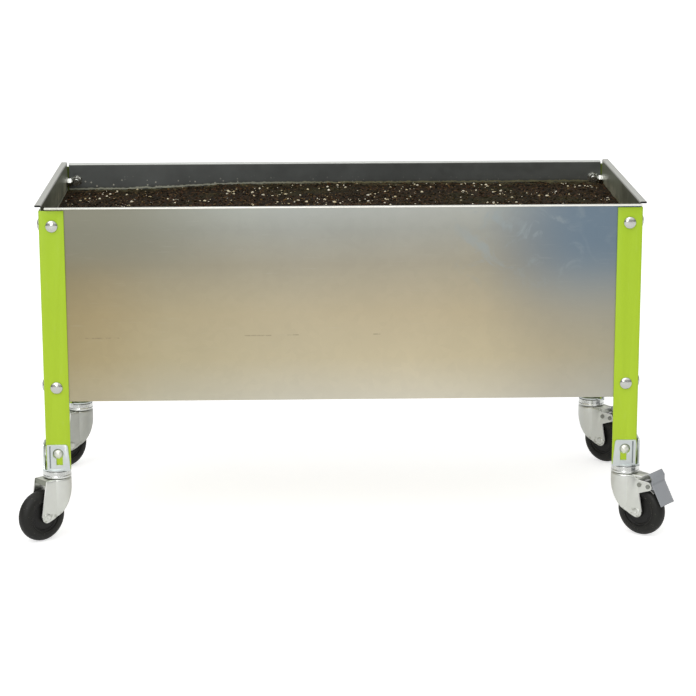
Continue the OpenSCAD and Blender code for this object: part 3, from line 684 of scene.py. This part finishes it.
def pinch_groove(bm):
    """Narrows the floor of the groove in each bracket flange, so that its sides meet in a vee."""
    groove_depth, half_width, stand_out = 0.9, 1.3 * MM, (2.5, 5.0)
    for vert in bm.verts:
        along, off = LEG_X - abs(vert.co.x), LEG_Y - abs(vert.co.y)
        for axis, run, face in ((0, along, off), (1, off, along)):
            depth = (face / MM + stand_out[axis]) / groove_depth
            if 0.1 < depth < 1.1 and abs(run - GROOVE_IN) < half_width:
                drawn = (run - GROOVE_IN) * 0.85 * min(depth, 1.0)
                vert.co[axis] += math.copysign(drawn, vert.co[axis])


def deepen_rim(bm):
    """Lowers the underside of an end panel's rim by the play inside its fold."""
    play = 0.8 * MM
    for vert in bm.verts:
        if vert.co.z > END_RIM - 0.0025:
            vert.co.z -= play * min(max((END_RIM - MM - vert.co.z) / play, 0), 1)


def softened_copy(name, node, material, widths, steps=2, change=None):
    """A copy of a pressed or folded piece with its edges rounded. widths has rows of a width and
    a test for the edges that get it, or None for all sharp ones."""
    smooth_below, sharp_above, cut_above = math.radians(28), math.radians(32), 1.0
    bm = bmesh.new()
    bm.from_mesh(nodes[node].data)
    bmesh.ops.remove_doubles(bm, verts=bm.verts[:], dist=1e-6)
    bmesh.ops.dissolve_limit(bm, angle_limit=math.radians(0.6), use_dissolve_boundaries=False,
                             verts=bm.verts[:], edges=bm.edges[:])
    cut = bm.faces.layers.int.new(CUT)
    for face in bm.faces:  # a cut edge is a narrow face with sharp edges nearly all round
        around = sum(e.calc_length() for e in face.edges)
        sharp = sum(e.calc_length() for e in face.edges if e.calc_face_angle(0) > cut_above)
        face[cut] = int(sharp > 0.8 * around and face.calc_area() < 1.7 * MM * around)
    for face in bm.faces:  # a flat face keeps flat shading, and only what is curved is smoothed
        face.smooth = any(e.calc_face_angle(math.pi) < smooth_below for e in face.edges)
    for width, chosen in widths:
        edges = [e for e in bm.edges if e.calc_face_angle(0) > sharp_above
                 and (chosen is None or chosen(e))]
        rounded = bmesh.ops.bevel(bm, geom=edges, offset=width, offset_type="OFFSET",
                                  segments=steps, profile=0.5, affect="EDGES",
                                  clamp_overlap=True, material=-1)["faces"]
        for face in rounded:
            face.smooth = True
            # Rounded edges are marked too, for the forks' painted highlight.
            face[cut] = 1
    if change:
        change(bm)
        bmesh.ops.remove_doubles(bm, verts=bm.verts[:], dist=1e-5)
        bmesh.ops.dissolve_degenerate(bm, dist=1e-5, edges=bm.edges[:])
    return finish_piece(bm, name, node, material, smooth=False)


def rim_edge(edge):
    """A long outer edge of a panel's rim."""
    return (edge.calc_length() > 0.2 and edge.is_convex
            and min(v.co.z for v in edge.verts) > RIM - 0.0025)


def bend(edge):
    """The long edge where a panel's wall turns over into its rim."""
    x, y, z = edge.verts[0].co
    end_panel = abs(y) < 0.2158 and abs(x) > 0.4520
    wall = abs(x) < WALL_X if end_panel else abs(y) < WALL_Y
    return rim_edge(edge) and z > RIM - 0.0005 and wall


def hem(edge):
    """The other long edges of a rim, where the sheet is folded back on itself."""
    return rim_edge(edge) and not bend(edge)


def shoulder(edge):
    """The top outline of a fork, where the crown turns down into the sides."""
    return min(v.co.z for v in edge.verts) > FORK_TOP - 0.2 * MM and edge.is_convex


def below_shoulder(edge):
    """An edge clear of a fork's rounded top outline."""
    return max(v.co.z for v in edge.verts) < FORK_TOP - 1.4 * MM


def spun(outline, steps, closed=True):
    """Turns an outline of (radius, height) points in millimetres round the Z axis."""
    bm = bmesh.new()
    points = [bm.verts.new((r * MM, 0, h * MM)) for r, h in outline]
    pairs = list(zip(points, points[1:])) + ([(points[-1], points[0])] if closed else [])
    edges = [bm.edges.new(pair) for pair in pairs]
    bmesh.ops.spin(bm, geom=points + edges, cent=(0, 0, 0), axis=(0, 0, 1), angle=math.tau,
                   steps=steps, use_merge=True, use_duplicate=False)
    bmesh.ops.remove_doubles(bm, verts=bm.verts[:], dist=1e-6)
    bmesh.ops.recalc_face_normals(bm, faces=bm.faces[:])
    return bm


def standing(where, axis):
    """The turn and shift that puts something made round the Z axis at a real place."""
    turn = Vector((0, 0, 1)).rotation_difference(Vector(axis))
    return Matrix.Translation(where) @ turn.to_matrix().to_4x4()


def turned_piece(bm, put, name, node, material, sharp=28):
    """Puts something made at the origin in its place, and finishes it."""
    bmesh.ops.transform(bm, matrix=put, verts=bm.verts[:])
    finish_piece(bm, name, node, material, sharp)


def gather(target, source, moves):
    """Adds a copy of one shape at each of the moves."""
    mesh = bpy.data.meshes.new("copy")
    source.to_mesh(mesh)
    for move in moves:
        copy = mesh.copy()
        copy.transform(move)
        target.from_mesh(copy)
        bpy.data.meshes.remove(copy)
    bpy.data.meshes.remove(mesh)
    source.free()


# ---- Casters ----

def make_tyres_and_hubs():
    """Crowned rubber tyres with a mould line, on dished hubs."""
    angles = [math.radians(a) for a in range(-84, 85, 7)]
    crown = [(28 + 12 * math.cos(a), 12 * math.sin(a)) for a in angles]
    crown = [(min(r, 39.75) if abs(h) > 0.5 else 39.99, h) for r, h in crown]
    side = [(24.05, 11.0), (24.5, 11.9), (26.2, 12.0), (26.5, 11.6), (27.0, 11.6), (27.3, 12.0)]
    tyre = [(r, -h) for r, h in side] + crown + side[::-1]
    half = [(4.05, 14), (8.6, 14), (9, 13.6), (9.3, 9.6), (20.3, 9.0), (21.2, 10.3), (21.6, 10.5),
            (24, 10.5)]
    hub = [(r, -h) for r, h in half] + half[::-1]
    for corner in CORNERS:
        spin = joints["wheel_spin_" + corner]
        put = standing(spin["pos_m"], spin["axis"])
        turned_piece(spun(tyre, 72), put, "tyre_" + corner, "wheel_tyre_" + corner, RUBBER, 40)
        turned_piece(spun(hub, 60), put, "hub_" + corner, "wheel_hub_" + corner, PLASTIC, 30)


def make_axles():
    """Axle rivets with low domed heads, dimpled in the middle."""
    head = [(0, 18.0), (1.5, 18.0), (2.1, 18.45), (3.4, 18.5), (4.8, 18.25), (5.7, 17.7),
            (6.0, 17.0), (4.0, 17.0)]
    outline = [(r, -h) for r, h in head] + head[::-1]
    for corner in CORNERS:
        spin = joints["wheel_spin_" + corner]
        turned_piece(spun(outline, 32, closed=False), standing(spin["pos_m"], spin["axis"]),
                     "axle_rivet_" + corner, "axle_" + corner, PRESSED)


def make_drums():
    """Pressed race cups: bevelled shoulder, plain drum, flared lower lip."""
    outline = [(5.3, 103.2), (5.3, 109.5), (20.1, 109.5), (20.7, 109.3), (21.3, 108.7),
               (21.5, 108.0), (21.5, 102.4), (21.7, 101.7), (22.1, 101.0), (22.19, 100.4),
               (22.19, 98.6), (21.9, 98.2), (20.0, 98.2), (19.7, 98.5), (19.7, 103.2)]
    for corner in CORNERS:
        x, y, _ = joints["swivel_turn_" + corner]["pos_m"]
        turned_piece(spun(outline, 72), Matrix.Translation((x, y, 0)), "swivel_drum_" + corner,
                     "race_cup_" + corner, DRUMS, 34)


# ---- Bolts and nuts ----

def bolt_moves():
    """Where the trough's sixteen bolts sit, pointing out of each leg."""
    for right in (-1, 1):
        for back in (-1, 1):
            for high in BOLT_HEIGHTS:
                yield standing((right * BOLT_X, back * LEG_Y, high), (0, back, 0))
                yield standing((right * LEG_X, back * BOLT_Y, high), (right, 0, 0))


def make_bolts():
    """Domed carriage bolts with rolled threads."""
    angles = [math.radians(a) for a in range(0, 90, 9)]
    dome = [(9.5 * math.cos(a), 0.7 + 3.8 * math.sin(a)) for a in angles] + [(0, 4.5)]
    crest, root, pitch, plain, turns = 3.98, 3.5, 1.25, 5.0, 7
    shank = [(crest, 0), (crest, -plain)]
    for turn in range(turns):
        depth = -plain - turn * pitch
        shank += [(crest, depth - 0.15), (root, depth - 0.62), (crest, depth - 1.1)]
    outline = [(0, -14.1), (3.2, -14.1)] + shank[::-1] + [(9.2, 0), (9.5, 0.25)] + dome
    bm = bmesh.new()
    gather(bm, spun(outline, 40, closed=False), bolt_moves())
    finish_piece(bm, "carriage_bolts_threaded", "carriage_bolts", PLATING, sharp=32)


def make_nuts():
    """Hexagon nuts with chamfered corners."""
    count, bore, flats, height, seat = 24, 4.0, 6.5, 6.5, 5.6
    chamfer_reach, chamfer_slope = 6.75, 1.7
    nut = bmesh.new()
    bmesh.ops.create_circle(nut, segments=count, radius=bore * MM)
    inner = nut.edges[:]
    rim = []
    for i in range(count):
        angle = math.tau * i / count
        reach = flats / math.cos((angle + math.pi / 6) % (math.pi / 3) - math.pi / 6)
        rim.append(nut.verts.new((reach * MM * math.cos(angle), reach * MM * math.sin(angle), 0)))
    outer = [nut.edges.new((rim[i], rim[(i + 1) % count])) for i in range(count)]
    flat = bmesh.ops.bridge_loops(nut, edges=inner + outer)["faces"]
    grown = bmesh.ops.extrude_face_region(nut, geom=flat)["geom"]
    bmesh.ops.translate(nut, vec=(0, 0, -height * MM),
                        verts=[g for g in grown if isinstance(g, bmesh.types.BMVert)])
    bmesh.ops.recalc_face_normals(nut, faces=nut.faces[:])
    for i in range(6):
        angle = math.radians(60 * i + 30)
        across, aside = math.cos(angle), math.sin(angle)
        for end, up in ((0, 1), (-height, -1)):
            spot = Vector((chamfer_reach * across, chamfer_reach * aside, end)) * MM
            cut = bmesh.ops.bisect_plane(nut, geom=nut.verts[:] + nut.edges[:] + nut.faces[:],
                                         plane_co=spot, clear_outer=True, dist=1e-7,
                                         plane_no=(across, aside, chamfer_slope * up))["geom_cut"]
            bmesh.ops.holes_fill(nut, edges=[g for g in cut if isinstance(g, bmesh.types.BMEdge)])
    bm = bmesh.new()
    gather(bm, nut, [move @ Matrix.Translation((0, 0, -seat * MM)) for move in bolt_moves()])
    finish_piece(bm, "hex_nuts_chamfered", "hex_nuts", PLATING, sharp=20)


# ---- Soil ----

def soil_height(x, y):
    """The soil's surface: sunk a little at the left end, heaped and granular."""
    sunk = max(0.0, min(1.0, (SINK_START - x) / SINK_LENGTH))
    height = SOIL_TOP - SINK * sunk * sunk * (3 - 2 * sunk)
    for size, scale in ((0.0016, 9), (0.0016, 34), (0.0012, 150), (0.0011, 410)):
        height += size * noise.noise(Vector((x, y, 0)) * scale)
    return height


def make_soil():
    """Potting mix filling the trough, with a granular surface."""
    low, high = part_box("soil")
    play, lengthways, crossways = 0.0002, 300, 142
    middle, half = (low + high) / 2, (high - low) / 2 - Vector((play,) * 3)
    bm = bmesh.new()
    bmesh.ops.create_grid(bm, x_segments=lengthways, y_segments=crossways, size=1.0,
                          matrix=Matrix.Diagonal((half.x, half.y, 1, 1)))
    for vert in bm.verts:
        vert.co.x += middle.x
        vert.co.y += middle.y
        vert.co.z = soil_height(vert.co.x, vert.co.y)
    edge = [e for e in bm.edges if e.is_boundary]
    for made in bmesh.ops.extrude_edge_only(bm, edges=edge)["geom"]:
        if isinstance(made, bmesh.types.BMVert):
            made.co.z = low.z + play
    bmesh.ops.holes_fill(bm, edges=[e for e in bm.edges if e.is_boundary])
    bmesh.ops.recalc_face_normals(bm, faces=bm.faces[:])
    finish_piece(bm, "potting_mix", "soil", damp_soil("damp_soil", 420.0), sharp=60)


def near_a_bolt(x, y):
    """Whether a crumb would touch the inner end of one of the bolts."""
    thread_end_x, clear, wall_y = 0.449, 0.012, 0.19
    beside = min(abs(abs(x) - BOLT_X), abs(abs(x) - thread_end_x)) < clear
    return beside and abs(y) > wall_y


def free_place(chance, low, high, patchy):
    """A place for the next crumb. A patchy kind lies close together in some areas."""
    margin = 0.006
    while True:
        x = chance.uniform(low.x + margin, high.x - margin)
        y = chance.uniform(low.y + margin, high.y - margin)
        if near_a_bolt(x, y):
            continue
        if patchy and noise.noise(Vector((x, y, 3)) * 14) < chance.uniform(-0.3, 0.35):
            continue
        return x, y


def crumbs(chance, count, smallest, largest, patchy):
    """Small uneven lumps lying in the soil's surface."""
    low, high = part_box("soil")
    lump = bpy.data.meshes.new("lump")
    source = bmesh.new()
    bmesh.ops.create_icosphere(source, subdivisions=1, radius=1.0)
    source.to_mesh(lump)
    source.free()
    shape = [v.co.copy() for v in lump.vertices]
    bm = bmesh.new()
    for _ in range(count):
        x, y = free_place(chance, low, high, patchy)
        size = smallest + (largest - smallest) * chance.random() ** 1.8
        squash = Vector((chance.uniform(0.8, 1.5), chance.uniform(0.6, 1.0),
                         chance.uniform(0.4, 0.8)))
        turn = (Matrix.Rotation(chance.uniform(0, math.tau), 3, "Z")
                @ Matrix.Rotation(chance.uniform(-0.7, 0.7), 3, "X"))
        centre = Vector((x, y, soil_height(x, y) + size * 0.2))
        flat = []
        for point in shape:
            flat.extend(centre + turn @ (point * squash) * size * chance.uniform(0.75, 1.1))
        lump.vertices.foreach_set("co", flat)
        bm.from_mesh(lump)
    bpy.data.meshes.remove(lump)
    return bm


def scatter_crumbs():
    """Bark crumbs, and white perlite in patches."""
    chance = random.Random(11)
    kinds = (("bark_crumbs", 5200, damp_soil("bark_crumb", 330.0), 0.0011, 0.0030, False),
             ("perlite_bits", 640, perlite(), 0.0008, 0.0030, True))
    for name, count, material, smallest, largest, patchy in kinds:
        bm = crumbs(chance, count, smallest, largest, patchy)
        mesh = bpy.data.meshes.new(name)
        bm.to_mesh(mesh)
        bm.free()
        piece = bpy.data.objects.new(name, mesh)
        scene.collection.objects.link(piece)
        mesh.materials.append(material)
        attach(piece, "trough")


# ---- The scene ----

place_camera()
light_the_studio()

PLATING = zinc("bright_zinc", tone(205, 206, 200), 0.20)
PRESSED = zinc("satin_zinc", tone(222, 224, 218), 0.33)
FORK_MARKS = (stained_tips, painted_cut_highlights, darker_crown)
HORNS = zinc("horn_zinc", tone(222, 224, 218), 0.33, *FORK_MARKS)
LIPPED = zinc("lipped_zinc", tone(222, 224, 218), 0.33, *FORK_MARKS, shaded_lip)
# Painted shade: a darker copy of the fork zinc, for the back-left fork under the trough.
SHADED_FORK = zinc("shaded_fork_zinc", tone(196, 198, 192), 0.37, *FORK_MARKS)
FLANGES = zinc("flange_zinc", tone(212, 218, 217), 0.33, shaded_grooves)
BALLS = zinc("polished_ball", tone(205, 208, 212), 0.12)
SPRING = zinc("spring_steel", tone(168, 168, 166), 0.32)
PINS = zinc("darkened_pin", tone(148, 150, 143), 0.42)
MILKY = zinc("milky_zinc", tone(228, 230, 218), 0.42)
DRUMS = zinc("drum_zinc", tone(234, 236, 232), 0.25, painted_joint_shade)
COAT = green_powder_coat()
RUBBER, PLASTIC, PEDAL = black_rubber(), hub_plastic(), pedal_grey()
SHEET = {side: galvanised(side) for side in SIDES + ("floor",)}

SLOT = {part["node"]: part["material_slot"] for part in frame["record"]["subparts"]}
FINISH = {"green_coating": COAT, "zinc_fastener": PLATING, "zinc_pressing": PRESSED,
          "ball_steel": BALLS, "hub_plastic": PLASTIC, "black_rubber": RUBBER,
          "pedal_coating": PEDAL, "spring_steel": SPRING}


def finish_of(node):
    """The finish for a node of the frame."""
    if node.endswith("_panel"):
        return SHEET[node.split("_")[0]]
    if node.startswith("brake_pins"):
        return PINS
    if node == "bracket_bolts":
        return MILKY
    return FINISH[SLOT[node]]


for name, thing in nodes.items():
    if name != "soil":
        for slot in thing.material_slots:
            slot.material = finish_of(name)

make_soil()
scatter_crumbs()
make_tyres_and_hubs()
make_axles()
make_drums()
make_bolts()
make_nuts()
for side in SIDES:
    name = side + ("_end_panel" if side in ENDS else "_panel")
    softened_copy(side + "_sheet", name, SHEET[side], ((1.8 * MM, bend), (0.8 * MM, hem)),
                  steps=4, change=deepen_rim if side in ENDS else None)
for corner in CORNERS:
    # The back-left fork takes the painted-shade copy of the zinc.
    forged = {"back_left": SHADED_FORK, "front_left": LIPPED}.get(corner, HORNS)
    softened_copy("fork_pressing_" + corner, "fork_" + corner, forged,
                  ((1.0 * MM, shoulder), (0.3 * MM, below_shoulder)))
    softened_copy("bracket_pressing_" + corner, "caster_bracket_" + corner, FLANGES,
                  ((0.3 * MM, None),), change=pinch_groove)
    softened_copy("leg_angle_" + corner, "leg_" + corner, COAT, ((0.5 * MM, None),))
for corner in BRAKED:
    softened_copy("pedal_plate_" + corner, "brake_pedal_" + corner, PEDAL, ((0.3 * MM, None),))
